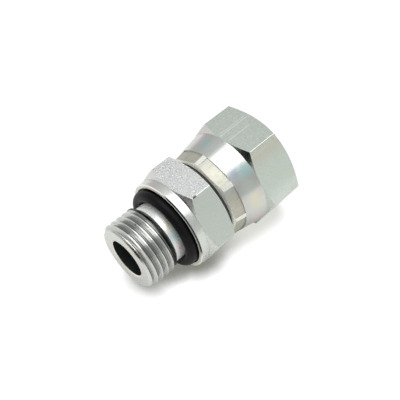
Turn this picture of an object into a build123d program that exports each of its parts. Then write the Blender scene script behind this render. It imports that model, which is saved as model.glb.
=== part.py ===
from build123d import *
from math import radians, sqrt, tan
import os

# Straight hydraulic adapter with an O-ring stud at one end and a crimped swivel nut at the other.
# Millimetres, +Z up. The common axis lies along X. The stud points to +X and the nut opens to -X.
# The origin is on the axis, in the flat seat of the stud's O-ring, which the collar's rim surrounds.
# Both hexagons have a flat facing straight up and a flat facing straight down.

# Stud: 1.5 mm pitch external thread, drawn at its crest diameter, and a plain neck
stud_thread_diameter = 16.0
stud_length = 12.3
stud_thread_length = 7.95
stud_tip_chamfer = 0.85
stud_tip_length = 1.1
thread_end_chamfer = 0.75
neck_depth = 0.9

# Bore from end to end
flow_bore_diameter = 9.1
bore_edge_chamfer = 0.25

# O-ring on the stud's neck, drawn with a many-sided section
stud_ring_section = 2.62
stud_ring_sides = 12

# Collar and hexagon of the body. The collar's rim stands round the seat of the O-ring
body_across_flats = 21.8
collar_below_flats = 0.1
collar_edge_chamfer = 0.2
collar_length = 1.6
collar_rim_height = 0.5
collar_rim_wall = 0.9
body_hexagon_length = 6.8
body_front_chamfer_angle = 33.0
body_back_chamfer_angle = 23.0

# Spigot that carries the nut: a neck, a shoulder with a conical back, then the 24 degree nose
spigot_neck_diameter = 15.8
shoulder_rise = 1.1
shoulder_length = 2.6
shoulder_back_angle = 45.0
nose_diameter = 14.3
nose_length = 5.9
nose_cone_angle = 24.0
nose_tip_chamfer = 0.3

# O-ring in the nose and its groove
nose_ring_section = 1.5
nose_ring_sides = 8
nose_groove_width = 1.9
nose_groove_wall = 0.7
nose_groove_from_tip = 1.7

# Swivel nut: 1.5 mm pitch internal thread, drawn at its crest diameter
nut_thread_major_diameter = 18.0
nut_thread_depth = 0.81
nut_mouth_chamfer = 0.3
nut_wall_at_flats = 2.85
nut_hexagon_length = 9.4
nut_chamfer_angle = 28.0
skirt_length = 8.6
lip_wall = 2.35
gap_behind_body = 1.15

# Crimp: dies all round press the tail of the nut in behind the shoulder
die_count = 8
die_turn = 24.9
die_length = 3.25
die_width = 6.95
die_face_radius = 17.0
die_depth = 0.36
crimped_taper = 0.13
lip_edge_chamfer = 0.3
lip_thickness = 2.6

# Play between the nut and the spigot, and between each O-ring and its seat
swivel_clearance = 0.2
ring_clearance = 0.02

# Radii that follow from the sizes above
neck_radius = stud_thread_diameter / 2 - neck_depth
collar_radius = body_across_flats / 2 - collar_below_flats
spigot_neck_radius = spigot_neck_diameter / 2
shoulder_radius = spigot_neck_radius + shoulder_rise
lip_bore_radius = spigot_neck_radius + swivel_clearance
tail_radius = lip_bore_radius + lip_wall
nose_groove_radius = flow_bore_diameter / 2 + nose_groove_wall
nut_across_flats = nut_thread_major_diameter + 2 * nut_wall_at_flats

# Places along the axis, from the O-ring's seat to the nut's mouth
thread_end = stud_length - stud_thread_length
hexagon_front = -collar_length
hexagon_back = hexagon_front - body_hexagon_length
lip_face = hexagon_back - gap_behind_body
die_end = lip_face - die_length
skirt_end = lip_face - skirt_length
nut_end = skirt_end - nut_hexagon_length

# The shoulder's conical back faces the pressed lip, which takes the pull of the joint
back_slope = tan(radians(shoulder_back_angle))
shoulder_back = lip_face - lip_thickness
shoulder_crown = shoulder_back - shoulder_rise / back_slope
shoulder_front = shoulder_crown - shoulder_length
nose_tip = shoulder_front - nose_length

# Each end of a hexagon is chamfered by a cone that meets the middle of its flats
body_corner = body_across_flats / sqrt(3)
body_corner_height = body_corner - body_across_flats / 2
body_front_chamfer = body_corner_height * tan(radians(body_front_chamfer_angle))
body_back_chamfer = body_corner_height * tan(radians(body_back_chamfer_angle))
nut_corner = nut_across_flats / sqrt(3)
nut_chamfer = (nut_corner - nut_across_flats / 2) * tan(radians(nut_chamfer_angle))


def turned(points):
    """Solid of revolution about X. Each point is a distance along X and a radius."""
    outline = Polyline(*[(x, 0, radius) for x, radius in points], close=True)
    return revolve(make_face(outline), axis=Axis.X)


def hexagon_bar(across_flats, low, high):
    """Hexagon bar along X from low to high, with a flat facing up."""
    section = Plane.YZ.offset(low) * RegularPolygon(across_flats / 2, 6, major_radius=False)
    return extrude(section, high - low)


def o_ring(middle, inner_radius, section, sides):
    """Ring of nearly round section about X, with its middle plane at the given distance along X."""
    place = Plane.XZ * Pos(middle, inner_radius + section / 2)
    return revolve(place * RegularPolygon(section / 2, sides), axis=Axis.X)


def stud():
    crest = stud_thread_diameter / 2
    return turned(
        [
            (stud_length, 0),
            (stud_length, crest - stud_tip_chamfer),
            (stud_length - stud_tip_length, crest),
            (thread_end + thread_end_chamfer, crest),
            (thread_end, neck_radius),
            (hexagon_front, neck_radius),
            (hexagon_front, 0),
        ]
    )


def collar_and_hexagon():
    flat = body_across_flats / 2
    blank = turned(
        [
            (0, 0),
            (0, collar_radius - collar_rim_wall),
            (collar_rim_height, collar_radius - collar_rim_wall),
            (collar_rim_height, collar_radius - collar_edge_chamfer),
            (collar_rim_height - collar_edge_chamfer, collar_radius),
            (hexagon_front, collar_radius),
            (hexagon_front, flat),
            (hexagon_front - body_front_chamfer, body_corner),
            (hexagon_back + body_back_chamfer, body_corner),
            (hexagon_back, flat),
            (hexagon_back, 0),
        ]
    )
    return blank & hexagon_bar(body_across_flats, hexagon_back, collar_rim_height)


def spigot():
    taper = tan(radians(nose_cone_angle / 2))
    tip = nose_diameter / 2 - nose_length * taper
    blank = turned(
        [
            (hexagon_front, 0),
            (hexagon_front, spigot_neck_radius),
            (shoulder_back, spigot_neck_radius),
            (shoulder_crown, shoulder_radius),
            (shoulder_front, shoulder_radius),
            (shoulder_front, nose_diameter / 2),
            (nose_tip + nose_tip_chamfer, tip + nose_tip_chamfer * taper),
            (nose_tip, tip - nose_tip_chamfer),
            (nose_tip, 0),
        ]
    )
    groove_front = nose_tip + nose_groove_from_tip
    groove = turned(
        [
            (groove_front, nose_groove_radius),
            (groove_front, nose_diameter),
            (groove_front + nose_groove_width, nose_diameter),
            (groove_front + nose_groove_width, nose_groove_radius),
        ]
    )
    return blank - groove


def flow_bore():
    bore = flow_bore_diameter / 2
    return turned(
        [
            (stud_length, 0),
            (stud_length, bore + bore_edge_chamfer),
            (stud_length - bore_edge_chamfer, bore),
            (nose_tip + bore_edge_chamfer, bore),
            (nose_tip, bore + bore_edge_chamfer),
            (nose_tip, 0),
        ]
    )


def adapter_body():
    return stud() + collar_and_hexagon() + spigot() - flow_bore()


def stud_o_ring():
    middle = ring_clearance + stud_ring_section / 2
    return o_ring(middle, neck_radius + ring_clearance, stud_ring_section, stud_ring_sides)


def nose_o_ring():
    middle = nose_tip + nose_groove_from_tip + nose_groove_width / 2
    return o_ring(middle, nose_groove_radius + ring_clearance, nose_ring_section, nose_ring_sides)


def die_print():
    """What the upper die presses away: a bar along X with a hollow face and the crimp's taper."""
    face_height = tail_radius - die_depth
    die = Pos(0, nut_corner / 2) * Rectangle(die_width, nut_corner)
    die -= Pos(0, face_height - die_face_radius) * Circle(die_face_radius)
    section = Plane((lip_face, 0, 0), x_dir=(0, -1, 0), z_dir=(-1, 0, 0)) * die
    return extrude(section, die_length, dir=(-1, 0, crimped_taper))


def swivel_nut():
    flat = nut_across_flats / 2
    pressed = tail_radius - die_depth
    die_end_radius = tail_radius + die_length * crimped_taper
    outside = turned(
        [
            (lip_face, 0),
            (lip_face, pressed - lip_edge_chamfer),
            (lip_face - lip_edge_chamfer - die_depth, tail_radius),
            (die_end, die_end_radius),
            (skirt_end, flat),
            (skirt_end - nut_chamfer, nut_corner),
            (nut_end + nut_chamfer, nut_corner),
            (nut_end, flat),
            (nut_end, 0),
        ]
    )
    nut = outside & hexagon_bar(nut_across_flats, nut_end, lip_face)
    for number in range(die_count):
        nut -= Rot(X=die_turn + number * 360 / die_count) * die_print()
    return nut - nut_inside()


def nut_inside():
    """Space in the nut: the lip's bore, the chamber round the shoulder, then the thread."""
    chamber = shoulder_radius + swivel_clearance
    chamber_back = shoulder_back + swivel_clearance
    chamber_front = shoulder_front - swivel_clearance
    crest = nut_thread_major_diameter / 2 - nut_thread_depth
    mouth = nut_thread_major_diameter / 2 + nut_mouth_chamfer
    return turned(
        [
            (lip_face, 0),
            (lip_face, lip_bore_radius),
            (chamber_back, lip_bore_radius),
            (chamber_back - (chamber - lip_bore_radius) / back_slope, chamber),
            (chamber_front, chamber),
            (chamber_front - (chamber - crest), crest),
            (nut_end + (mouth - crest), crest),
            (nut_end, mouth),
            (nut_end, 0),
        ]
    )


pieces = {
    "adapter_body": adapter_body(),
    "stud_o_ring": stud_o_ring(),
    "nose_o_ring": nose_o_ring(),
    "swivel_nut": swivel_nut(),
}

os.makedirs("parts", exist_ok=True)
for name, piece in pieces.items():
    export_step(piece, f"parts/{name}.step")
    print(name, round(piece.volume), piece.bounding_box().size)
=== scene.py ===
from math import asin, cos, pi, radians, sin, tan
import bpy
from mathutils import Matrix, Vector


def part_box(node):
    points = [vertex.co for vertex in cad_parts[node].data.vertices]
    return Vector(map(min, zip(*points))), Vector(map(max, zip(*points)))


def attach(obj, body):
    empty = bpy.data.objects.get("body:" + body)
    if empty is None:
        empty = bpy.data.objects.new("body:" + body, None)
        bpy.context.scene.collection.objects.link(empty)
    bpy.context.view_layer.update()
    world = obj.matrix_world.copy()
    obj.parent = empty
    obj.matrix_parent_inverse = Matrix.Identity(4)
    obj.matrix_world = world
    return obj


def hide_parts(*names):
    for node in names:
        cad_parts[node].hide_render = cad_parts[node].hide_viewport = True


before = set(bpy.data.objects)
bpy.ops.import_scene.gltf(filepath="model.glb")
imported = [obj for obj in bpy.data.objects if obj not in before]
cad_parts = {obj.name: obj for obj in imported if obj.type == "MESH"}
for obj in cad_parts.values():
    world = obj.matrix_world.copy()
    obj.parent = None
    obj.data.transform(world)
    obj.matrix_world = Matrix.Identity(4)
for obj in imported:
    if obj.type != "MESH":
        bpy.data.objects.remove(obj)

from types import SimpleNamespace

import bmesh
import bpy
from bpy.props import FloatProperty, FloatVectorProperty, PointerProperty
from mathutils import Matrix, Vector

bl_info = {
    "name": "Hydraulic adapter",
    "version": (1, 0, 0),
    "blender": (4, 5, 0),
    "location": "3D View > Sidebar > Adapter",
    "description": "Models and finishes a zinc plated hydraulic adapter with a crimped swivel nut",
    "category": "Add Mesh",
}

# The common axis is X, the stud points to +X and the nut opens to -X, as in the frame.
# Meshes are worked in millimetres and brought to metres when they are finished.
MM = 1000
HEX_SIDES = 6
DIES = 8

# Steps of a full turn, of a rounded corner, of a thread's root, of a die's face and of a seal's section
SEGMENTS = 192
ARC_STEPS = 4
ROOT_STEPS = 3
DIE_STEPS = 24
SEAL_STEPS = 48

# Faces that meet at more than this many degrees keep a sharp edge
CREASE = 30
SEAL_CREASE = 50

# Points nearer than this are merged
WELD = 0.0002

# Tolerance of the tests that find a face by its place, and the width of a sliver that they leave out
TOUCH = 0.01
SLIVER = 0.05

# How far a groove reaches past the crests and a blank past its hexagon's corners
PAST = 0.1

# How far a hexagon's shell reaches past the hexagon's ends
SHELL_PAST = 0.6

# Turns by which a thread's groove runs on past the thread, at an open end and over the stud's neck
PAST_TURNS = 1.1
NECK_TURNS = 1.07

# Half the angle between a thread's flanks, and the share of its root's width that is rounded
FLANK = radians(30)
ROOT_ROUND = 0.8

# Rounds of turned corners, from the collar's rim to the stud's tip
FINE_ROUND = 0.05
GROOVE_EDGE_ROUND = 0.06
EDGE_ROUND = 0.1
CREST_ROUND = 0.12
GROOVE_ROUND = 0.15
CORNER_ROUND = 0.2
TIP_ROUND = 0.3

# Chamfers at both ends of the bore, on the nose's tip and on the nut's lip
BORE_CHAMFER = 0.25
NOSE_CHAMFER = 0.3
LIP_CHAMFER = 0.3

BODY_LOW, BODY_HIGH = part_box("adapter_body")
NUT_LOW, NUT_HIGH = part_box("swivel_nut")
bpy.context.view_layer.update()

# Places along the axis
NOSE_TIP = BODY_LOW.x * MM
LIP_FACE = NUT_HIGH.x * MM
NUT_MOUTH = NUT_LOW.x * MM


def length(name, default, description):
    """A size that a user may change, in metres."""
    return FloatProperty(
        name=name, description=description, default=default, min=0, precision=5, unit="LENGTH"
    )


def angle(name, default, description):
    """An angle that a user may change, given here in degrees."""
    return FloatProperty(
        name=name, description=description, default=radians(default), subtype="ANGLE"
    )


def colour(name, default, description):
    """A colour that a user may change."""
    return FloatVectorProperty(
        name=name, description=description, default=default, min=0, max=1, subtype="COLOR"
    )


class BodySizes(bpy.types.PropertyGroup):
    """Sizes of the body: stud, collar, hexagon and the spigot inside the nut."""

    stud_length: length("Stud length", BODY_HIGH.x, "From the O-ring's seat to the stud's end")
    stud_diameter: length("Stud diameter", 0.016, "Over the thread's crests")
    stud_thread_length: length("Thread length", 0.00795, "From the stud's end to the neck")
    stud_tip_chamfer: length("Tip chamfer", 0.00085, "Fall of the chamfer at the thread's start")
    stud_tip_length: length("Tip length", 0.0011, "Length of the chamfer at the thread's start")
    thread_end_chamfer: length("Thread end", 0.00075, "Slope from the last crest to the neck")
    thread_pitch: length("Pitch", 0.0015, "Pitch of the stud's thread")
    thread_depth: length("Thread depth", 0.00088, "Depth of the stud's thread")
    neck_diameter: length("Neck diameter", 0.0142, "Plain neck that the O-ring sits on")
    bore_diameter: length("Bore", 0.0091, "Bore from end to end")
    collar_diameter: length("Collar diameter", 0.0216, "Round collar behind the O-ring")
    collar_length: length("Collar length", 0.0016, "From the O-ring's seat to the hexagon")
    collar_rim: length("Collar rim", 0.0005, "How far the collar's rim stands before the seat")
    rim_wall: length("Rim wall", 0.0009, "Thickness of the collar's rim")
    collar_chamfer: length("Collar chamfer", 0.0002, "Edge of the collar's rim")
    across_flats: length("Across flats", 0.0218, "Hexagon of the body")
    hexagon_length: length("Hexagon length", 0.0068, "Length of the body's hexagon")
    front_chamfer: angle("Front chamfer", 33, "Slope of the cone at the hexagon's front")
    back_chamfer: angle("Back chamfer", 23, "Slope of the cone at the hexagon's back")
    edge_round: length("Edge round", 0.00013, "Width of the hexagon's worn edges")
    spigot_diameter: length("Spigot neck", 0.0158, "Neck under the nut's pressed lip")
    spigot_neck_end: length("Spigot neck end", 0.01215, "Where the shoulder's cone begins")
    shoulder_diameter: length("Shoulder", 0.018, "Shoulder that holds the nut")
    shoulder_end: length("Shoulder end", 0.01585, "Where the nose begins")
    nose_diameter: length("Nose", 0.0143, "Nose at the shoulder")
    nose_angle: angle("Nose angle", 12, "Half the angle of the nose's cone")
    groove_from_tip: length("Groove place", 0.0017, "From the nose's tip to its groove")
    groove_width: length("Groove width", 0.0019, "Width of the groove for the nose O-ring")
    groove_diameter: length("Groove", 0.0105, "Floor of the groove")


class NutSizes(bpy.types.PropertyGroup):
    """Sizes of the swivel nut and its crimp."""

    across_flats: length("Across flats", 2 * NUT_HIGH.z, "Hexagon of the nut")
    hexagon_length: length("Hexagon length", 0.0094, "Length of the nut's hexagon")
    chamfer_angle: angle("Hexagon chamfer", 28, "Slope of the cone at each end of the hexagon")
    edge_round: length("Edge round", 0.00013, "Width of the hexagon's worn edges")
    crest_diameter: length("Thread crest", 0.01638, "Internal thread over its crests")
    major_diameter: length("Thread major", 0.018, "Internal thread over its roots")
    thread_pitch: length("Pitch", 0.0015, "Pitch of the internal thread")
    mouth_chamfer: length("Mouth chamfer", 0.0003, "Edge of the nut's mouth")
    lip_diameter: length("Lip bore", 0.0162, "Bore of the pressed lip")
    lip_depth: length("Lip depth", 0.0024, "Length of the pressed lip's bore")
    tail_diameter: length("Tail", 0.0209, "Tail of the nut before the dies press it")
    chamber_diameter: length("Chamber", 0.0184, "Space round the body's shoulder")
    chamber_start: length("Chamber start", 0.0035, "From the lip's face to the full chamber")
    chamber_end: length("Chamber end", 0.0065, "From the lip's face to the chamber's end")
    die_angle: angle("Die turn", 24.9, "Turn of the first die from the top")
    die_length: length("Die length", 0.00325, "Length of each die's print")
    die_width: length("Die width", 0.00695, "Width of each die's print")
    die_face: length("Die face radius", 0.017, "Radius of each die's hollow face")
    die_depth: length("Die depth", 0.00036, "How far each die presses")
    taper: FloatProperty(name="Taper", description="Slope of the crimped tail", default=0.13)


class SealSizes(bpy.types.PropertyGroup):
    """Sizes of the two O-rings."""

    stud_section: length("Stud ring section", 0.0026, "Section of the stud's O-ring")
    nose_section: length("Nose ring section", 0.00148, "Section of the nose's O-ring")
    flash: length("Flash", 0.00002, "Fine ridge that the mould leaves round an O-ring")


class Finishes(bpy.types.PropertyGroup):
    """Colours of the plating and the rubber."""

    zinc: colour("Zinc", (0.74, 0.75, 0.73), "Bright zinc plate")
    dull: colour("Dull zinc", (0.62, 0.63, 0.61), "Duller zinc plate on the nut's turned surfaces")
    # Painted light: bright, sage, mint and pale set the flats' colours by height
    bright: colour("Bright flat", (0.75, 0.77, 0.765), "Sparkling top flat of the body")
    neck: colour("Neck", (0.95, 0.96, 0.95), "Satin zinc on the stud's neck")
    sage: colour("Sage film", (0.63, 0.71, 0.64), "Top flat of the nut")
    green: colour("Green film", (0.69, 0.76, 0.7), "Thick parts of the passivation")
    mint: colour("Mint film", (0.74, 0.83, 0.74), "Mint places of the film")
    olive: colour("Olive film", (0.72, 0.74, 0.62), "Olive places of the film")
    # Painted reflection of the floor low on the nut's side flat
    pale: colour("Pale film", (0.86, 0.94, 0.87), "Palest places of the film")
    straw: colour("Straw film", (0.76, 0.72, 0.57), "Straw places of the film")
    teal: colour("Teal film", (0.5, 0.72, 0.7), "Teal places of the film")
    pink: colour("Pink film", (0.8, 0.65, 0.7), "Pink places of the film")
    violet: colour("Violet film", (0.52, 0.56, 0.7), "Violet places of the film")
    rubbed: colour("Rubbed zinc", (0.54, 0.53, 0.45), "Zinc that the dies have rubbed")
    # Also the painted bright rings on the rim and the lip
    lip: colour("Pressed edges", (0.88, 0.86, 0.78), "Ridges and edges that the dies leave bright")
    # Painted dark reflection on the stud's tip chamfer
    scale: colour("Scale", (0.3, 0.23, 0.17), "Brown scale at the start of the stud's thread")
    # Painted shade on the thread's flanks and roots
    flanks: colour("Thread flanks", (0.6, 0.61, 0.59), "Duller flanks and roots of the stud's thread")
    pits: colour("Pits", (0.45, 0.48, 0.46), "Dull bottoms of the drawn flats' grain")
    # Painted glints of the grain, also the bright scribed lines
    glints: colour("Glints", (0.98, 0.98, 0.98), "Bright specks of the drawn flats' grain")
    # Painted shade and dark reflection in the bore, gaps, seat, rings, thread roots and nut's shoulder,
    # also dark streaks in the prints
    bore: colour("Bore", (0.03, 0.045, 0.04), "Dark oily wall of the bore")
    rubber: colour("Rubber", (0.005, 0.005, 0.006), "Both O-rings")


def in_millimetres(group):
    """The sizes of a group: lengths in millimetres, the rest as they are, and half of each width."""
    sizes = SimpleNamespace()
    for name in group.__annotations__:
        value = getattr(group, name)
        if group.bl_rna.properties[name].unit == "LENGTH":
            value *= MM
        setattr(sizes, name, value)
        for width, half in (("diameter", "radius"), ("across_flats", "apothem")):
            if name.endswith(width):
                setattr(sizes, name.replace(width, half), value / 2)
    return sizes


def start_fresh():
    """Leaves edit mode and selects nothing."""
    if bpy.context.mode != "OBJECT":
        bpy.ops.object.mode_set(mode="OBJECT")
    bpy.ops.object.select_all(action="DESELECT")


def activate(piece):
    """Selects one piece alone."""
    start_fresh()
    piece.select_set(True)
    bpy.context.view_layer.objects.active = piece


def edit(piece):
    """Opens one piece for editing, with all of it selected."""
    activate(piece)
    bpy.ops.object.mode_set(mode="EDIT")
    bpy.ops.mesh.select_mode(type="VERT")
    bpy.ops.mesh.select_all(action="SELECT")


def named(name):
    """Names the piece that was just added, applies its place and returns it."""
    piece = bpy.context.object
    piece.name = name
    bpy.ops.object.transform_apply()
    return piece


def select_edges(test):
    """Selects the edges whose two ends pass the test."""
    bpy.ops.mesh.select_mode(type="EDGE")
    bpy.ops.mesh.select_all(action="DESELECT")
    mesh = bmesh.from_edit_mesh(bpy.context.object.data)
    for edge in mesh.edges:
        if test(edge.verts[0].co, edge.verts[1].co):
            edge.select_set(True)
    bmesh.update_edit_mesh(bpy.context.object.data)


def apply(piece, kind, **settings):
    """Gives a piece one modifier and applies it."""
    activate(piece)
    modifier = piece.modifiers.new(kind.title(), kind)
    for name, value in settings.items():
        setattr(modifier, name, value)
    bpy.ops.object.modifier_apply(modifier=modifier.name)


def cut(piece, tool):
    """Cuts a tool's shape out of a piece and removes the tool."""
    apply(piece, "BOOLEAN", operation="DIFFERENCE", object=tool, solver="EXACT")
    bpy.data.objects.remove(tool)


def rounded(corners):
    """Outline of (x, radius) points. A corner of (x, radius, round) becomes an arc of that round."""
    outline = []
    for number, corner in enumerate(corners):
        point = Vector(corner[:2])
        if len(corner) == 2:
            outline.append(point)
            continue
        before = (Vector(corners[number - 1][:2]) - point).normalized()
        after = (Vector(corners[(number + 1) % len(corners)][:2]) - point).normalized()
        half = before.angle(after) / 2
        middle = point + (before + after).normalized() * corner[2] / sin(half)
        start = point + before * corner[2] / tan(half) - middle
        turn = start.angle_signed(point + after * corner[2] / tan(half) - middle)
        for step in range(ARC_STEPS + 1):
            outline.append(middle + Matrix.Rotation(-turn * step / ARC_STEPS, 2) @ start)
    return outline


def single_point(name, x, y, z):
    """A piece of one point, left in edit mode for extruding."""
    start_fresh()
    bpy.ops.mesh.primitive_plane_add(size=1)
    piece = named(name)
    edit(piece)
    bpy.ops.mesh.merge(type="CENTER")
    bpy.ops.transform.translate(value=(x, y, z))
    return piece


def turned(name, corners):
    """Closed outline drawn point by point in the XZ plane and spun about X."""
    outline = rounded(corners)
    piece = single_point(name, outline[0].x, 0, outline[0].y)
    for here, there in zip(outline, outline[1:] + outline[:1]):
        step = (there.x - here.x, 0, there.y - here.y)
        bpy.ops.mesh.extrude_vertices_move(TRANSFORM_OT_translate={"value": step})
    bpy.ops.mesh.select_all(action="SELECT")
    bpy.ops.mesh.remove_doubles(threshold=WELD / 2)
    bpy.ops.mesh.spin(steps=SEGMENTS, angle=2 * pi, center=(0, 0, 0), axis=(1, 0, 0))
    tidy(piece)
    return piece


def tidy(piece):
    """Merges doubled points and turns the faces outwards."""
    edit(piece)
    bpy.ops.mesh.remove_doubles(threshold=WELD)
    bpy.ops.mesh.normals_make_consistent(inside=False)
    start_fresh()


def hexagon_blank(apothem, foot, front, back, front_angle, back_angle):
    """Outline of a hexagon's turned blank. The cones at its ends start a little below the flats."""
    low = apothem - foot
    high = apothem / cos(pi / HEX_SIDES) + PAST
    return [
        (front, low),
        (front - (high - low) * tan(front_angle), high),
        (back + (high - low) * tan(back_angle), high),
        (back, low),
    ]


def hexagon_shell(apothem, edge_round, back, front):
    """Thick hexagonal tube with rounded inner edges, which trims a turned blank to a hexagon."""
    low = back - SHELL_PAST
    high = front + SHELL_PAST
    middle = (low + high) / 2
    start_fresh()
    bpy.ops.mesh.primitive_cylinder_add(
        vertices=HEX_SIDES,
        radius=apothem / cos(pi / HEX_SIDES),
        depth=high - low,
        end_fill_type="NOTHING",
        location=(middle, 0, 0),
        rotation=(0, pi / 2, 0),
    )
    shell = named("hexagon_shell")
    edit(shell)
    select_edges(lambda a, b: (a.x - middle) * (b.x - middle) < 0)
    bpy.ops.mesh.bevel(offset=edge_round, segments=ARC_STEPS, affect="EDGES")
    tidy(shell)
    apply(shell, "SOLIDIFY", thickness=apothem / 3, offset=1)
    tidy(shell)
    return shell


def thread_groove(start, end, pitch, crest, root, flat):
    """V-groove in a right-hand helix from start to end, which leaves the crests a flat of this width."""
    side = 1 if crest > root else -1
    past = PAST * side
    height = crest + past - root
    middle = (crest + past + root) / 2
    half_crest = pitch / 2 - flat / 2 + PAST * tan(FLANK)
    half_root = half_crest - abs(height) * tan(FLANK)
    start_fresh()
    bpy.ops.mesh.primitive_plane_add(size=1, rotation=(pi / 2, 0, 0))
    groove = named("thread_groove")
    edit(groove)
    bpy.ops.transform.resize(value=(2 * half_crest, 1, abs(height)))
    bpy.ops.transform.translate(value=(start, 0, middle))
    select_edges(lambda a, b: (a.z - middle) * side < 0 and (b.z - middle) * side < 0)
    bpy.ops.transform.resize(value=(half_root / half_crest, 1, 1), center_override=(start, 0, 0))
    bpy.ops.mesh.bevel(offset=half_root * ROOT_ROUND, segments=ROOT_STEPS, affect="VERTICES")
    bpy.ops.mesh.select_all(action="SELECT")
    bpy.ops.mesh.delete(type="ONLY_FACE")
    turns = int((end - start) / pitch) + 1
    apply(
        groove,
        "SCREW",
        axis="X",
        angle=2 * pi,
        steps=SEGMENTS,
        render_steps=SEGMENTS,
        screw_offset=pitch,
        iterations=turns,
        use_merge_vertices=False,
    )
    edit(groove)
    bpy.ops.mesh.fill_holes(sides=0)
    tidy(groove)
    return groove


def on_flat(size, middle, normal):
    """The flats of a hexagon."""
    return abs(middle.yz.dot(normal.yz) - size.apothem) < TOUCH and abs(normal.x) < TOUCH


def finish_piece(piece, size, materials, places=(), crease=CREASE):
    """Brings a piece to metres, smooths its round faces and gives each material its places.

    The places of a material are tests of a face's middle, in millimetres, and its normal. The first
    material covers what no other test finds.
    """
    activate(piece)
    piece.scale = (1 / MM,) * 3
    bpy.ops.object.transform_apply()
    bpy.ops.object.shade_smooth_by_angle(angle=radians(crease))
    piece.data.materials.clear()
    for material in materials:
        piece.data.materials.append(material)
    for number, tests in enumerate(places):
        for face in piece.data.polygons:
            if any(test(size, face.center * MM, face.normal) for test in tests):
                face.material_index = number
                face.use_smooth = on_flat not in tests


class Wire:
    """One output socket, with the operators that shader maths needs."""

    def __init__(self, nodes, socket):
        self.nodes = nodes
        self.socket = socket

    def __add__(self, other):
        return self.nodes.math("ADD", self, other)

    def __sub__(self, other):
        return self.nodes.math("SUBTRACT", self, other)

    def __mul__(self, other):
        return self.nodes.math("MULTIPLY", self, other)

    def __rsub__(self, other):
        return self.nodes.math("SUBTRACT", other, self)

    __radd__ = __add__
    __rmul__ = __mul__


class Nodes:
    """The nodes of one tree."""

    def __init__(self, tree):
        self.tree = tree
        tree.nodes.clear()

    def node(self, kind, settings=None, values=None, output=0):
        """Adds a node, with its settings first and then the values or links of its sockets."""
        node = self.tree.nodes.new(kind)
        for name, value in (settings or {}).items():
            if name == "stops":
                self.set_stops(node.color_ramp, value)
            else:
                setattr(node, name, value)
        for name, value in (values or {}).items():
            if isinstance(value, Wire):
                self.tree.links.new(value.socket, node.inputs[name])
            else:
                node.inputs[name].default_value = value
        return Wire(self, node.outputs[output]) if node.outputs else None

    def set_stops(self, ramp, stops):
        while len(ramp.elements) < len(stops):
            ramp.elements.new(1)
        for element, (position, shade) in zip(ramp.elements, stops):
            element.position = position
            element.color = rgba(shade)

    def math(self, operation, *values):
        return self.node("ShaderNodeMath", {"operation": operation}, dict(enumerate(values)))

    def fade(self, value, low, high, to_low=0.0, to_high=1.0):
        """Smooth step of a value from low to high."""
        return self.node(
            "ShaderNodeMapRange",
            {"interpolation_type": "SMOOTHSTEP"},
            {"Value": value, "From Min": low, "From Max": high, "To Min": to_low, "To Max": to_high},
        )

    def mix(self, factor, first, second):
        """Mixes two colours."""
        return self.node(
            "ShaderNodeMix",
            {"data_type": "RGBA"},
            {0: factor, 6: first, 7: second},
            output=2,
        )


class Finish(Nodes):
    """A material and the nodes that make it."""

    def __init__(self, name):
        self.material = bpy.data.materials.new(name)
        self.material.use_nodes = True
        super().__init__(self.material.node_tree)
        self.place = self.node("ShaderNodeTexCoord", output="Object")

    def stretched(self, scale):
        """Object place, in millimetres, stretched along each axis."""
        return self.node(
            "ShaderNodeMapping", None, {"Vector": self.place, "Scale": [MM * s for s in scale]}
        )

    def noise(self, place, detail, roughness):
        return self.node(
            "ShaderNodeTexNoise",
            None,
            {"Vector": place, "Scale": 1, "Detail": detail, "Roughness": roughness},
        )

    def grain(self, *scale):
        """Fine noise, stretched along each axis."""
        return self.noise(self.stretched(scale), 3, 0.6)

    def satin(self, grain, low, high):
        """Roughness that follows a grain."""
        return self.fade(grain, 0.3, 0.7, low, high)

    def tint(self, tone, shade, amount):
        """Mixes an amount of one of the colours into a tone."""
        return self.mix(amount, tone, rgba(shade))

    def by_distance(self, distance, colours, stops):
        """Colour by a distance from the axis."""
        return self.node(
            "ShaderNodeValToRGB",
            {"stops": [(place / RAMP_REACH, getattr(colours, shade)) for place, shade in stops]},
            {"Fac": distance * (1 / RAMP_REACH)},
        )

    def spot(self, x, y, z, radius):
        """Soft mask round a point of the object, given in millimetres."""
        near = self.node(
            "ShaderNodeVectorMath",
            {"operation": "DISTANCE"},
            {0: self.stretched((1, 1, 1)), 1: (x, y, z)},
            output="Value",
        )
        ragged = near + (self.noise(self.stretched((0.5, 0.5, 0.5)), 2, 0.5) - 0.5) * radius
        return self.fade(ragged, radius, 0)

    def scribed(self, start, end, side, width):
        """Mask of a fine line along the axis on top of a flat, given in millimetres."""
        along, across = self.along(), self.across()
        line = self.fade(self.math("ABSOLUTE", across - side), width, width / 3)
        shown = self.fade(along, end, end + SCRIBE_FADE) * self.fade(along, start, start - SCRIBE_FADE)
        return line * shown

    def axis(self, name):
        return self.node(
            "ShaderNodeSeparateXYZ", None, {"Vector": self.stretched((1, 1, 1))}, output=name
        )

    def along(self):
        return self.axis("X")

    def across(self):
        return self.axis("Y")

    def height(self):
        return self.axis("Z")

    def radius(self):
        return self.node(
            "ShaderNodeVectorMath", {"operation": "LENGTH"}, {0: self.stretched((0, 1, 1))}, "Value"
        )

    def tool_lines(self, fineness):
        """Fine rings round the axis, as a turning tool leaves them."""
        rings = self.node(
            "ShaderNodeCombineXYZ",
            None,
            {"X": self.along() * fineness, "Y": self.radius() * fineness, "Z": 0.0},
        )
        return self.noise(rings, 2, 0.6)

    def bump(self, height, strength, distance):
        return self.node(
            "ShaderNodeBump",
            None,
            {"Strength": strength, "Distance": distance / MM, "Height": height},
        )

    def shade(self, values):
        """Ends the finish with one surface shader."""
        surface = self.node("ShaderNodeBsdfPrincipled", None, values)
        self.node("ShaderNodeOutputMaterial", None, {"Surface": surface})
        return self.material


def rgba(shade):
    return (*shade, 1)


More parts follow.
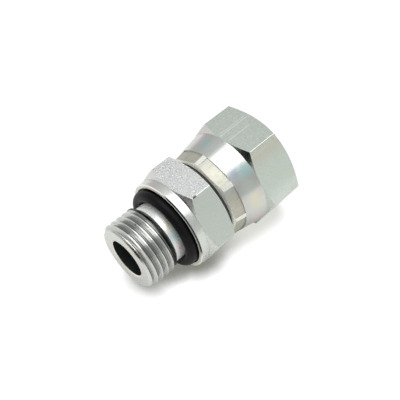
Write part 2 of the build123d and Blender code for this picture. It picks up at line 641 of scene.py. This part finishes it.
# Places, in millimetres, where the passivation's film shows a colour, with the reach of each
BODY_FILM = (
    ("straw", (2.9, 4.2, 5.7), 1.9),
    ("teal", (2.9, 6.0, 3.8), 2.3),
    ("pink", (3.0, 7.0, 1.0), 2.3),
    # The brown scale spot on the stud's tip chamfer is a painted dark reflection
    ("scale", (12.1, 4.9, 5.7), 1.5),
)
NUT_FILM = (
    ("pink", (-15.2, -5.2, 10.2), 2.4),
    ("teal", (-15.6, -3.6, 10.9), 2.6),
    ("pink", (-17.6, -7.0, 9.3), 2.6),
    ("teal", (-15.9, 7.2, 8.9), 2.6),
    ("teal", (-17.4, 7.6, 9.0), 2.8),
    ("violet", (-14.3, 6.4, 9.1), 1.8),
    ("green", (-15.4, 9.4, 6.3), 3.2),
    ("straw", (-15.8, 10.9, 3.4), 2.4),
    ("straw", (-16.3, 11.3, 1.2), 2.4),
    ("pink", (-15.8, 11.0, -2.6), 2.4),
)

# The colour ramps reach this far from the axis, in millimetres
RAMP_REACH = 12

# Painted light on the flats, by the height over the axis: the top flat has its own colour, and the nut's
# side flat grows paler low down as a painted reflection of the floor
BODY_FLATS = ((0, "green"), (10.68, "green"), (10.8, "bright"))
NUT_FLATS = (
    (0.96, "pale"),
    (3.6, "mint"),
    (7.2, "mint"),
    (10.2, "olive"),
    (11.64, "olive"),
    (11.76, "sage"),
)

# Heights over the axis between which the grain grows coarse and the scribed lines come in
COARSE_HEIGHTS = (10.7, 10.85)
SCRIBED_HEIGHTS = (11.6, 11.8)

# Lines scribed along the nut's top flat by handling: start, end, place across and width
SCRIBED = (
    (-18.2, -27.0, -1.35, 0.16),
    (-18.6, -25.4, 0.9, 0.14),
    (-18.4, -26.6, -1.9, 0.1),
)

# Length over which a scribed line fades at its ends
SCRIBE_FADE = 0.5

# Painted dark reflection in the nut's shoulder at its upper corner, laid on twice
SHOULDER_DARK_REFLECTION = (("bore", (-18.6, 6.2, 10.9), 3.4),) * 2

# Painted bright and shaded rings on the collar's rim and on the lip's face by their radius
RIM_LIGHT_RINGS = ((0, "lip"), (10.26, "lip"), (10.38, "bore"))
LIP_LIGHT_RINGS = (
    (8.82, "bore"),
    (8.94, "lip"),
    (9.3, "lip"),
    (9.42, "bore"),
    (9.6, "bore"),
    (9.72, "lip"),
)

# The painted rings show from a start on, measured from the axis toward the upper right. The lip's are
# whole
UPPER_RIGHT = (0.77, 0.64)
RIM_START = 8.6
LIP_START = -20
RING_FADE = 1.5

# Painted highlight on the crests and painted shade on the roots of the stud's thread, by the radius, and
# its black run-out along the axis
CREST_RADII = (7.75, 7.98)
ROOT_RADII = (7.36, 7.18)
RUN_OUT_FADE = 0.15

# Small dark nicks on the body's corner and on the thread, each a place and a reach
CORNER_NICKS = (
    (-3.1, 6.25, 10.82, 0.36),
    (-3.4, 6.25, 10.82, 0.4),
    (-3.7, 6.25, 10.82, 0.36),
)
THREAD_NICKS = ((8.15, 0.3, 7.9, 0.32), (8.95, 0.8, 7.8, 0.3))

# Painted shade in corners and thread roots, and the worn places of the dark bore
CREVICE_SHADE = (0.03, 0.03, 0.025)
WORN_BORE = (0.08, 0.09, 0.08)

# Looks of the turned surfaces: fineness and depth of the tool lines, lowest and highest
# roughness, and how metallic they are
BODY_LOOK = (5, 0.012, 0.24, 0.34, 1.0)
NECK_LOOK = (12, 0.008, 0.26, 0.34, 0.5)
NUT_LOOK = (5, 0.004, 0.18, 0.27, 1.0)
SHOULDER_LOOK = (12, 0.01, 0.2, 0.3, 1.0)
RIDGE_LOOK = (5, 0.004, 0.2, 0.3, 0.55)

# Sparkle of the top flats, with painted glints
BODY_SPARKLE = 1.0
NUT_SPARKLE = 0.45


def film_colour(finish, colours, film, base):
    """Zinc colour under the passivation's film: a faint drift of colours, and stronger places."""
    drift = finish.noise(finish.stretched((0.13, 0.16, 0.16)), 1, 0.5)
    tone = finish.tint(rgba(base), colours.green, finish.fade(drift, 0.4, 0.62) * 0.5)
    veil = finish.noise(finish.stretched((0.2, 0.11, 0.11)), 1, 0.5)
    tone = finish.tint(tone, colours.straw, finish.fade(veil, 0.52, 0.75) * 0.2)
    tone = finish.tint(tone, colours.pink, finish.fade(veil, 0.48, 0.28) * 0.15)
    for shade, place, reach in film:
        tone = finish.tint(tone, getattr(colours, shade), finish.spot(*place, reach) * 0.75)
    return tone


def shaded_in_crevices(finish, tone, distance):
    """Painted shade: darkens a colour by ambient occlusion, in corners and thread roots."""
    openness = finish.node(
        "ShaderNodeAmbientOcclusion",
        {"samples": 8, "only_local": True},
        {"Distance": distance / MM},
        output="AO",
    )
    return finish.tint(tone, CREVICE_SHADE, finish.fade(openness, 0.55, 0.12))


def nicked(finish, colours, tone, nicks):
    """Dark nicks in a surface."""
    for nick in nicks:
        tone = finish.tint(tone, colours.rubber, finish.spot(*nick))
    return tone


def lit_face_zinc(name, colours, rings, start):
    """Zinc on a narrow turned face, with painted bright and shaded rings on its upper right from start
    on.
    """
    finish = Finish(name)
    tone = finish.by_distance(finish.radius(), colours, rings)
    toward = finish.across() * UPPER_RIGHT[0] + finish.height() * UPPER_RIGHT[1]
    shown = finish.fade(toward, start - RING_FADE, start)
    tone = finish.mix(shown, rgba(colours.lip), tone)
    return finish.shade({"Base Color": tone, "Metallic": 0.3, "Roughness": 0.35})


def turned_zinc(name, colours, base, look, film=(), nicks=()):
    """Zinc on a turned surface, with tool lines under a drifting film."""
    fineness, depth, *gloss, metal = look
    finish = Finish(name)
    grain = finish.grain(2, 2, 2)
    tone = nicked(finish, colours, film_colour(finish, colours, film, base), nicks)
    return finish.shade(
        {
            "Base Color": shaded_in_crevices(finish, tone, 0.7),
            "Metallic": metal,
            "Roughness": finish.satin(grain, *gloss),
            "Normal": finish.bump(finish.tool_lines(fineness) + grain * 0.2, 1.0, depth),
        }
    )


def thread_zinc(name, colours, dark_end):
    """Zinc on the stud's thread: a painted highlight on the crests, painted shade on the flanks and
    roots, and a black run-out.
    """
    finish = Finish(name)
    grain = finish.grain(1, 3, 3)
    rings = finish.tool_lines(7)
    crest = finish.fade(finish.radius(), *CREST_RADII)
    root = finish.fade(finish.radius(), *ROOT_RADII)
    run_out = finish.fade(finish.along(), dark_end, dark_end - RUN_OUT_FADE)
    # Painted highlight on the crests, over flanks in painted shade
    tone = finish.tint(rgba(colours.flanks), colours.zinc, crest)
    tone = finish.tint(tone, colours.pits, finish.fade(grain, 0.5, 0.7) * 0.25)
    tone = finish.tint(tone, colours.rubber, run_out)
    # Painted shade in the roots
    tone = finish.tint(tone, colours.bore, root * 0.6)
    tone = finish.tint(tone, colours.pits, finish.fade(rings, 0.53, 0.62) * 0.35)
    tone = nicked(finish, colours, tone, THREAD_NICKS)
    return finish.shade(
        {
            "Base Color": shaded_in_crevices(finish, tone, 0.8),
            "Metallic": 1.0,
            "Roughness": finish.satin(grain, 0.16, 0.26),
            "Normal": finish.bump(finish.tool_lines(6), 1.0, 0.012),
        }
    )


def pressed_zinc(name, colours, film, die_angle):
    """Zinc that the dies have rubbed: duller, warmer, streaked, and with painted shade toward each
    print's sides.
    """
    finish = Finish(name)
    streaks = finish.grain(0.4, 3, 3)
    grain = finish.grain(2.5, 2.5, 2.5)
    tone = film_colour(finish, colours, film, colours.rubbed)
    tone = finish.tint(tone, colours.rubbed, 0.8)
    tone = finish.tint(tone, colours.zinc, finish.fade(streaks, 0.55, 0.75) * 0.4)
    tone = finish.tint(tone, colours.bore, finish.fade(streaks, 0.45, 0.25) * 0.35)
    # Painted shade toward each print's sides
    turn = finish.math("ARCTAN2", finish.across(), finish.height()) - die_angle
    from_middle = finish.math("PINGPONG", turn, pi / DIES)
    tone = finish.tint(tone, colours.pits, finish.fade(from_middle, 0.12, 0.36) * 0.35)
    return finish.shade(
        {
            "Base Color": shaded_in_crevices(finish, tone, 0.5),
            "Metallic": 0.85,
            "Roughness": finish.satin(grain, 0.4, 0.5),
            "Normal": finish.bump(streaks + grain * 0.5, 1.0, 0.03),
        }
    )


def flat_zinc(name, colours, stops, sparkle, scribed=(), nicks=()):
    """Zinc on the drawn flats of a hexagon: colours by height as painted light, and a sparkly mottled
    grain with painted glints, strongest on the top flat.
    """
    finish = Finish(name)
    height = finish.height()
    tone = finish.by_distance(height, colours, stops)
    coarse = finish.fade(height, *COARSE_HEIGHTS, 0.15, sparkle)
    mottle = finish.grain(0.5, 0.8, 0.8)
    grain = finish.noise(finish.stretched((2.8, 3.4, 3.4)), 4, 0.85)
    pits = finish.fade(grain, 0.48, 0.43) * coarse
    glints = finish.fade(grain, 0.53, 0.58) * coarse
    tone = finish.tint(tone, colours.green, finish.fade(mottle, 0.5, 0.3) * 0.4)
    tone = finish.tint(tone, colours.olive, finish.fade(mottle, 0.52, 0.7) * 0.45)
    tone = finish.tint(tone, colours.pits, pits * 0.7)
    # Painted glints in the grain
    tone = finish.tint(tone, colours.glints, glints * 0.9)
    tone = nicked(finish, colours, tone, nicks)
    for line in scribed:
        mark = finish.scribed(*line) * finish.fade(height, *SCRIBED_HEIGHTS)
        tone = finish.tint(tone, colours.glints, mark * 0.8)
    return finish.shade(
        {
            "Base Color": shaded_in_crevices(finish, tone, 0.4),
            "Metallic": 1.0,
            "Roughness": 0.34 - glints * 0.1,
            "Normal": finish.bump(grain * coarse, 1.0, 0.08),
        }
    )


def shaded_bore_zinc(name, colours):
    """Painted shade: dull, dark zinc deep in the bore, in the gap behind the hexagon and on the O-ring's
    seat.
    """
    finish = Finish(name)
    grain = finish.grain(1, 3, 3)
    return finish.shade(
        {
            "Base Color": finish.tint(rgba(colours.bore), WORN_BORE, grain),
            "Metallic": 0.8,
            "Roughness": finish.satin(grain, 0.35, 0.5),
            "Normal": finish.bump(grain, 0.2, 0.02),
        }
    )


def seal_rubber(name, colours):
    """Smooth black rubber with a slight oily sheen."""
    finish = Finish(name)
    grain = finish.grain(4, 4, 4)
    return finish.shade(
        {
            "Base Color": rgba(colours.rubber),
            "Roughness": finish.satin(grain, 0.34, 0.44),
            "Specular IOR Level": 0.12,
            "Normal": finish.bump(grain, 0.15, 0.01),
        }
    )


class AdapterBody(bpy.types.Operator):
    """Turns the body, mills its hexagon and cuts the stud's thread"""

    bl_idname = "adapter.body"
    bl_label = "Body"

    # How far the hexagon's cones start below its flats
    foot = 0.03

    # How far the dark run-out reaches past the last crest
    oily_length = 0.38

    # How far from the neck the thread's finish starts, and past the tip's edge it ends
    run_out = 0.1
    tip_reach = 0.4

    # How far off its radius the neck may be, and the width of the bright edge round the dark gap
    neck_margin = 0.08
    bright_edge = 0.4

    # Least part of a normal that points to the front on the rim
    facing = 0.5

    def execute(self, context):
        size = in_millimetres(context.scene.adapter_body_sizes)
        size.front = -size.collar_length
        size.back = size.front - size.hexagon_length
        size.thread_end = size.stud_length - size.stud_thread_length
        size.rim_inside = size.collar_radius - size.rim_wall
        body = turned("body_metal", self.outline(size))
        cut(body, hexagon_shell(size.apothem, size.edge_round, size.back, size.front))
        groove = thread_groove(
            size.thread_end - NECK_TURNS * size.thread_pitch,
            size.stud_length + PAST_TURNS * size.thread_pitch,
            size.thread_pitch,
            size.stud_radius,
            size.stud_radius - size.thread_depth,
            size.thread_pitch / 8,
        )
        cut(body, groove)
        self.finish(body, size, context.scene.adapter_finishes)
        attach(body, "adapter")
        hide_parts("adapter_body")
        return {"FINISHED"}

    def finish(self, body, size, colours):
        """Gives the body its finishes and each of them its places."""
        dark_end = size.thread_end + size.thread_end_chamfer + self.oily_length
        materials = [
            turned_zinc("body_turned_zinc", colours, colours.zinc, BODY_LOOK, BODY_FILM, CORNER_NICKS),
            flat_zinc("body_flat_zinc", colours, BODY_FLATS, BODY_SPARKLE, nicks=CORNER_NICKS),
            shaded_bore_zinc("body_bore_zinc", colours),
            thread_zinc("body_thread_zinc", colours, dark_end),
            turned_zinc("body_neck_zinc", colours, colours.neck, NECK_LOOK, BODY_FILM),
            lit_face_zinc("body_rim_zinc", colours, RIM_LIGHT_RINGS, RIM_START),
        ]
        places = [
            (),
            (on_flat,),
            (self.in_bore, self.in_gap, self.on_seat),
            (self.on_thread,),
            (self.on_neck,),
            (self.on_rim, self.on_mouth),
        ]
        finish_piece(body, size, materials, places)

    def in_bore(self, size, middle, normal):
        """The wall of the bore."""
        return middle.yz.length < size.bore_radius + TOUCH

    def in_gap(self, size, middle, normal):
        """Neck and back face in the narrow gap behind the hexagon, painted dark as shade."""
        inside = middle.yz.length < size.apothem - self.bright_edge
        return inside and -size.spigot_neck_end < middle.x < size.back + TOUCH

    def on_seat(self, size, middle, normal):
        """The seat under the O-ring and the inner wall of the rim, painted dark as shade."""
        inside = size.neck_radius + EDGE_ROUND < middle.yz.length < size.rim_inside + 2 * TOUCH
        return inside and -TOUCH < middle.x < size.collar_rim - FINE_ROUND - TOUCH

    def on_thread(self, size, middle, normal):
        """From the thread's run-out to its chamfered tip."""
        low = size.thread_end + self.run_out
        high = size.stud_length - size.stud_tip_length + self.tip_reach
        return low < middle.x < high and middle.yz.length > size.neck_radius

    def on_neck(self, size, middle, normal):
        """The plain neck between the O-ring's seat and the thread."""
        near = abs(middle.yz.length - size.neck_radius) < self.neck_margin
        return near and SLIVER < middle.x < size.thread_end - SLIVER

    def on_rim(self, size, middle, normal):
        """The face of the rim round the O-ring's seat, with its chamfer."""
        outside = middle.yz.length > size.rim_inside - TOUCH
        return outside and SLIVER < middle.x < size.collar_rim + TOUCH and normal.x > self.facing

    def on_mouth(self, size, middle, normal):
        """The chamfer round the bore's mouth in the stud's end."""
        width = BORE_CHAMFER - TOUCH
        near = TOUCH < middle.yz.length - size.bore_radius < width
        return near and middle.x > size.stud_length - width

    def outline(self, size):
        """Half section of the body, from the stud's end along the outside and back through the bore."""
        end = size.stud_length
        rim = size.collar_rim
        collar = size.collar_radius
        bore = size.bore_radius
        spigot = size.spigot_radius
        shoulder = size.shoulder_radius
        crown = -size.spigot_neck_end - (shoulder - spigot)
        shoulder_end = -size.shoulder_end
        groove_low = NOSE_TIP + size.groove_from_tip
        groove_high = groove_low + size.groove_width

        def nose(x):
            """Radius of the nose's cone."""
            return size.nose_radius - (shoulder_end - x) * tan(size.nose_angle)

        return [
            (end, bore + BORE_CHAMFER),
            (end, size.stud_radius - size.stud_tip_chamfer, TIP_ROUND),
            (end - size.stud_tip_length, size.stud_radius, CREST_ROUND),
            (size.thread_end + size.thread_end_chamfer, size.stud_radius),
            (size.thread_end, size.neck_radius, EDGE_ROUND),
            (0, size.neck_radius, EDGE_ROUND),
            (0, size.rim_inside, FINE_ROUND),
            (rim, size.rim_inside, FINE_ROUND),
            (rim, collar - size.collar_chamfer, FINE_ROUND),
            (rim - size.collar_chamfer, collar, FINE_ROUND),
            (size.front, collar),
            *hexagon_blank(
                size.apothem, self.foot, size.front, size.back, size.front_chamfer, size.back_chamfer
            ),
            (size.back, spigot, CORNER_ROUND),
            (-size.spigot_neck_end, spigot, CORNER_ROUND),
            (crown, shoulder, EDGE_ROUND),
            (shoulder_end, shoulder, EDGE_ROUND),
            (shoulder_end, size.nose_radius, EDGE_ROUND),
            (groove_high, nose(groove_high), GROOVE_EDGE_ROUND),
            (groove_high, size.groove_radius, GROOVE_ROUND),
            (groove_low, size.groove_radius, GROOVE_ROUND),
            (groove_low, nose(groove_low), GROOVE_EDGE_ROUND),
            (NOSE_TIP + NOSE_CHAMFER, nose(NOSE_TIP + NOSE_CHAMFER), EDGE_ROUND),
            (NOSE_TIP, nose(NOSE_TIP) - NOSE_CHAMFER, EDGE_ROUND),
            (NOSE_TIP, bore + BORE_CHAMFER),
            (NOSE_TIP + BORE_CHAMFER, bore),
            (end - BORE_CHAMFER, bore),
        ]


class SwivelNut(bpy.types.Operator):
    """Turns the swivel nut, mills its hexagon, cuts its thread and presses its crimp"""

    bl_idname = "adapter.nut"
    bl_label = "Swivel nut"

    # How far the hexagon's cones start below its flats, and the thread ends before the chamber
    foot = 0.02
    thread_relief = 0.4

    # How far in front of the lip each die starts, and its thickness
    die_start = 1.0
    die_thickness = 5

    # Least depth of a print under the surface that the tail had
    print_depth = 0.06

    # How far behind the lip's front its face and its pressed edge lie
    lip_skin = 0.03
    lip_edge = 0.7

    # Width of the lip's dark bore and length of the cone at the hexagon's front
    dark_wall = 0.2
    shoulder_length = 1.3

    # Least part of a normal that points to the front or outward on a sloping and on a level face
    sloping = 0.3
    level = 0.7

    def execute(self, context):
        size = in_millimetres(context.scene.adapter_nut_sizes)
        size.skirt_end = NUT_MOUTH + size.hexagon_length
        nut = turned("nut_metal", self.outline(size))
        cut(nut, hexagon_shell(size.apothem, size.edge_round, NUT_MOUTH, size.skirt_end))
        groove = thread_groove(
            NUT_MOUTH - PAST_TURNS * size.thread_pitch,
            LIP_FACE - size.chamber_end - self.thread_relief,
            size.thread_pitch,
            size.crest_radius,
            size.major_radius,
            size.thread_pitch / 4,
        )
        cut(nut, groove)
        self.press(nut, size)
        self.finish(nut, size, context.scene.adapter_finishes)
        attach(nut, "nut")
        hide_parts("swivel_nut")
        return {"FINISHED"}

    def finish(self, nut, size, colours):
        """Gives the nut its finishes and each of them its places."""
        materials = [
            turned_zinc("nut_turned_zinc", colours, colours.dull, NUT_LOOK, NUT_FILM),
            flat_zinc("nut_flat_zinc", colours, NUT_FLATS, NUT_SPARKLE, SCRIBED),
            pressed_zinc("nut_pressed_zinc", colours, NUT_FILM, size.die_angle),
            lit_face_zinc("nut_lip_zinc", colours, LIP_LIGHT_RINGS, LIP_START),
            # The shoulder carries a painted dark reflection at its upper corner
            turned_zinc("nut_shoulder_zinc", colours, colours.dull, SHOULDER_LOOK, SHOULDER_DARK_REFLECTION),
            turned_zinc("nut_ridge_zinc", colours, colours.lip, RIDGE_LOOK),
        ]
        places = [
            (),
            (on_flat,),
            (self.in_print,),
            (self.on_lip,),
            (self.on_shoulder,),
            (self.on_edge, self.on_ridge),
        ]
        finish_piece(nut, size, materials, places)

    def on_tail(self, size, middle, normal):
        """The level outside of the crimped tail, with the ridges and the prints."""
        outward = middle.yz.normalized().dot(normal.yz)
        return SLIVER < LIP_FACE - middle.x < size.die_length + TOUCH and outward > self.level

    def in_print(self, size, middle, normal):
        """Faces that the dies have pressed."""
        return self.on_tail(size, middle, normal) and self.sunk(size, middle) > self.print_depth

    def on_ridge(self, size, middle, normal):
        """The ridges that stand between the dies' prints."""
        on_tail = self.on_tail(size, middle, normal) and normal.x <= self.sloping
        return on_tail and self.sunk(size, middle) < self.print_depth

    def on_edge(self, size, middle, normal):
        """The lip's chamfer."""
        outward = middle.yz.normalized().dot(normal.yz)
        near = SLIVER < LIP_FACE - middle.x < self.lip_edge
        return near and normal.x > self.sloping and outward > self.sloping

    def sunk(self, size, middle):
        """How far a place lies under the surface that the tail had before it was pressed."""
        return size.tail_radius + (LIP_FACE - middle.x) * size.taper - middle.yz.length

    def on_lip(self, size, middle, normal):
        """The lip's face and its bore, which get the painted rings and painted shade."""
        depth = LIP_FACE - middle.x
        in_bore = depth < size.lip_depth and middle.yz.length < size.lip_radius + self.dark_wall
        return in_bore or depth < self.lip_skin

    def on_shoulder(self, size, middle, normal):
        """The cone at the hexagon's front, between its flats."""
        near = 0 < size.skirt_end - middle.x < self.shoulder_length
        return near and normal.x > self.sloping and middle.yz.length > size.apothem

    def press(self, nut, size):
        """Eight dies press the tail in. One die is modelled, and each print is a turned copy."""
        half_turn = asin(size.die_width / 2 / size.die_face)
        centre = size.tail_radius - size.die_depth - size.die_face
        side = centre + size.die_face * cos(half_turn) - self.die_start * size.taper
        reach = self.die_start + size.die_length
        die = single_point("die", LIP_FACE + self.die_start, -size.die_width / 2, side)
        step = (-reach, 0, reach * size.taper)
        bpy.ops.mesh.extrude_vertices_move(TRANSFORM_OT_translate={"value": step})
        bpy.ops.mesh.select_all(action="SELECT")
        bpy.ops.mesh.spin(steps=DIE_STEPS, angle=2 * half_turn, center=(0, 0, centre), axis=(1, 0, 0))
        bpy.ops.mesh.select_mode(type="FACE")
        bpy.ops.mesh.select_all(action="SELECT")
        lift = (0, 0, self.die_thickness)
        bpy.ops.mesh.extrude_region_move(TRANSFORM_OT_translate={"value": lift})
        tidy(die)
        copies = []
        for number in range(DIES):
            activate(die)
            bpy.ops.object.duplicate()
            copies.append(bpy.context.object)
            copies[-1].rotation_euler.x = size.die_angle + number * 2 * pi / DIES
            bpy.ops.object.transform_apply()
        bpy.data.objects.remove(die)
        activate(copies[0])
        for copy in copies:
            copy.select_set(True)
        bpy.ops.object.join()
        cut(nut, copies[0])

    def outline(self, size):
        """Half section of the nut, from the lip along the outside and back through the thread."""
        tail = size.tail_radius
        chamber = size.chamber_radius
        chamber_end = LIP_FACE - size.chamber_end
        opening = size.major_radius + size.mouth_chamfer
        slope = size.chamfer_angle
        return [
            (LIP_FACE, size.lip_radius, GROOVE_ROUND),
            (LIP_FACE, tail - size.die_depth - LIP_CHAMFER, CREST_ROUND),
            (LIP_FACE - LIP_CHAMFER - size.die_depth, tail),
            (LIP_FACE - size.die_length, tail + size.die_length * size.taper),
            *hexagon_blank(size.apothem, self.foot, size.skirt_end, NUT_MOUTH, slope, slope),
            (NUT_MOUTH, opening),
            (NUT_MOUTH + opening - size.crest_radius, size.crest_radius),
            (chamber_end - (chamber - size.crest_radius), size.crest_radius),
            (chamber_end, chamber),
            (LIP_FACE - size.chamber_start, chamber),
            (LIP_FACE - size.lip_depth, size.lip_radius, GROOVE_ROUND),
        ]


class Seals(bpy.types.Operator):
    """Moulds the O-ring on the stud and the one in the nose"""

    bl_idname = "adapter.seals"
    bl_label = "O-rings"

    # Width of the mould's ridge, and how near to the ring's middle plane its seam lies
    flash_width = 0.04
    seam = 0.001

    def execute(self, context):
        size = in_millimetres(context.scene.adapter_seal_sizes)
        rubber = seal_rubber("seal_black_rubber", context.scene.adapter_finishes)
        self.mould("stud_seal", "stud_o_ring", size.stud_section, size, rubber)
        self.mould("nose_seal", "nose_o_ring", size.nose_section, size, rubber)
        return {"FINISHED"}

    def mould(self, name, node, section, size, rubber):
        """A ring with the fine ridge that its mould leaves on the outside and the inside."""
        low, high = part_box(node)
        middle = (low.x + high.x) / 2 * MM
        outer = high.y * MM - size.flash
        centre = outer - section / 2
        start_fresh()
        bpy.ops.mesh.primitive_torus_add(
            major_segments=SEGMENTS,
            minor_segments=SEAL_STEPS,
            major_radius=centre,
            minor_radius=section / 2,
            location=(middle, 0, 0),
            rotation=(0, pi / 2, 0),
        )
        ring = named(name)
        edit(ring)

        def on_seam(a, b):
            return abs(a.x - middle) < self.seam and abs(b.x - middle) < self.seam

        # Two segments keep an edge on the seam, which is then raised
        select_edges(on_seam)
        bpy.ops.mesh.bevel(offset=self.flash_width, segments=2, affect="EDGES")
        for side, edge in ((1, outer), (-1, outer - section)):
            select_edges(lambda a, b: on_seam(a, b) and (a.yz.length - centre) * side > 0)
            scale = 1 + side * size.flash / edge
            bpy.ops.transform.resize(value=(1, scale, scale), center_override=(middle, 0, 0))
        tidy(ring)
        finish_piece(ring, size, [rubber], crease=SEAL_CREASE)
        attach(ring, "adapter")
        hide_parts(node)


class Stage(bpy.types.Operator):
    """Lays the ground under the part, and sets the lights and the camera"""

    bl_idname = "adapter.stage"
    bl_label = "Ground, lights and camera"

    # The part rests on its nut's lower flat and the lower edge of its collar
    rest_back = Vector((-0.0186, 0, -0.01185))
    rest_front = Vector((0.0003, 0, -0.0108))

    # The camera was solved from the two hexagons and the stud's circles
    camera_place = (0.05598, 0.08844, 0.12447)
    camera_right = (-0.71809, 0.68696, -0.11153)
    camera_up = (-0.57427, -0.49436, 0.65255)
    camera_back = (0.39314, 0.53264, 0.74949)
    camera_lens = 67.5

    # The ground ends in front of the stud, where the room is dark. The metal mirrors it greyer
    ground_size = 2
    ground_front = 0.2
    mirrored_ground = (0.62, 0.62, 0.61, 1)
    ground_glow = (0.12, 0.12, 0.11, 1)
    white_ground = (1.1, 1.1, 1.1, 1)

    # The painted shadow is paler toward the nut, between these places in millimetres. Its reach is in
    # metres
    shadow_shade = (0.24, 0.245, 0.215, 1)
    pale_shadow = (0.7, 0.71, 0.66, 1)
    pale_range = (-2, -17)
    shadow_range = (0.35, 0.85)
    shadow_reach = 0.006

    # Brightness of the studio by the sine of the height, and the dark room at the stud's side
    sky_shades = ((0.0, 0.62), (0.15, 0.58), (0.4, 0.55), (0.7, 0.64), (1.0, 0.7))
    dark_side = (0.95, 0.25, 0.18)
    dark_shade = (0.03, 0.025, 0.02)
    dark_range = (0.7, 0.9)

    # The sky is brighter for the ground than for the metal, so the shadow stays tight
    ground_light = 1.0

    # The softbox hangs level, turned with the camera
    softbox_place = (-0.178, 0.108, 0.6)
    softbox_turn = radians(42)
    softbox_size = (0.35, 0.9)
    softbox_power = 1.98

    def execute(self, context):
        self.ground()
        self.sky(context.scene)
        self.softbox("overhead_softbox")
        self.camera(context.scene)
        context.scene.view_settings.view_transform = "Standard"
        return {"FINISHED"}

    def ground(self):
        slope = (self.rest_front - self.rest_back).normalized()
        middle = (self.ground_front - self.ground_size / 2, 0, 0)
        start_fresh()
        bpy.ops.mesh.primitive_plane_add(size=self.ground_size, location=middle)
        floor = named("ground")
        floor.rotation_euler.y = -asin(slope.z)
        floor.location = self.rest_back
        bpy.ops.object.transform_apply()
        floor.data.materials.append(self.ground_white())

    def ground_white(self):
        """White to the camera with a painted tight shadow round the part, and greyer where metal mirrors
        it.
        """
        finish = Finish("ground_white")
        openness = finish.node(
            "ShaderNodeAmbientOcclusion",
            {"samples": 16},
            {"Distance": self.shadow_reach},
            output="AO",
        )
        shadow = finish.fade(openness, *self.shadow_range)
        seen = finish.node("ShaderNodeLightPath", output="Is Camera Ray")
        paler = finish.fade(finish.along(), *self.pale_range)
        shade = finish.mix(paler, self.shadow_shade, self.pale_shadow)
        white = finish.mix(shadow, shade, self.white_ground)
        return finish.shade(
            {
                "Base Color": finish.mix(seen, self.mirrored_ground, (0, 0, 0, 1)),
                "Roughness": 0.7,
                "Specular IOR Level": 0,
                "Emission Color": finish.mix(seen, self.ground_glow, white),
                "Emission Strength": 1.0,
            }
        )

    def sky(self, scene):
        world = bpy.data.worlds.new("studio")
        world.use_nodes = True
        scene.world = world
        sky = Nodes(world.node_tree)
        place = sky.node("ShaderNodeTexCoord", output="Generated")
        height = sky.node("ShaderNodeSeparateXYZ", None, {"Vector": place}, output="Z")
        grey = sky.node(
            "ShaderNodeValToRGB",
            {"stops": [(level, (shade,) * 3) for level, shade in self.sky_shades]},
            {"Fac": height},
        )
        toward = sky.node(
            "ShaderNodeVectorMath",
            {"operation": "DOT_PRODUCT"},
            {0: place, 1: self.dark_side},
            output="Value",
        )
        shade = sky.mix(sky.fade(toward, *self.dark_range), grey, rgba(self.dark_shade))
        seen = sky.node("ShaderNodeLightPath", output="Is Camera Ray")
        scattered = sky.node("ShaderNodeLightPath", output="Is Diffuse Ray")
        shade = sky.mix(scattered, shade, rgba((self.ground_light,) * 3))
        background = sky.node(
            "ShaderNodeBackground", None, {"Color": sky.mix(seen, shade, (1, 1, 1, 1))}
        )
        sky.node("ShaderNodeOutputWorld", None, {"Surface": background})

    def softbox(self, name):
        """Rectangular softbox over the part."""
        start_fresh()
        turn = (0, 0, self.softbox_turn)
        bpy.ops.object.light_add(type="AREA", location=self.softbox_place, rotation=turn)
        light = bpy.context.object
        light.name = name
        light.data.shape = "RECTANGLE"
        light.data.size, light.data.size_y = self.softbox_size
        light.data.energy = self.softbox_power

    def camera(self, scene):
        start_fresh()
        bpy.ops.object.camera_add()
        camera = bpy.context.object
        turn = Matrix((self.camera_right, self.camera_up, self.camera_back)).transposed()
        camera.matrix_world = Matrix.Translation(self.camera_place) @ turn.to_4x4()
        camera.data.lens = self.camera_lens
        camera.data.sensor_width = 36
        camera.data.clip_start = 0.01
        camera.data.clip_end = 20
        scene.camera = camera


class AdapterPanel(bpy.types.Panel):
    """Lists the steps that make the adapter, with their sizes"""

    bl_idname = "VIEW3D_PT_adapter"
    bl_label = "Hydraulic adapter"
    bl_space_type = "VIEW_3D"
    bl_region_type = "UI"
    bl_category = "Adapter"

    def draw(self, context):
        for operator, group in STEPS:
            box = self.layout.box()
            box.operator(operator.bl_idname)
            settings = getattr(context.scene, group)
            for name in settings.__annotations__:
                box.prop(settings, name)


STEPS = (
    (AdapterBody, "adapter_body_sizes"),
    (Seals, "adapter_seal_sizes"),
    (SwivelNut, "adapter_nut_sizes"),
    (Stage, "adapter_finishes"),
)
GROUPS = {
    "adapter_body_sizes": BodySizes,
    "adapter_nut_sizes": NutSizes,
    "adapter_seal_sizes": SealSizes,
    "adapter_finishes": Finishes,
}
CLASSES = (*GROUPS.values(), *(operator for operator, group in STEPS), AdapterPanel)


def register():
    for cls in CLASSES:
        bpy.utils.register_class(cls)
    for name, group in GROUPS.items():
        setattr(bpy.types.Scene, name, PointerProperty(type=group))


def unregister():
    for name in GROUPS:
        delattr(bpy.types.Scene, name)
    for cls in reversed(CLASSES):
        bpy.utils.unregister_class(cls)


def main():
    """Makes every piece and the stage."""
    register()
    bpy.ops.adapter.body()
    bpy.ops.adapter.seals()
    bpy.ops.adapter.nut()
    bpy.ops.adapter.stage()


if __name__ == "__main__":
    main()
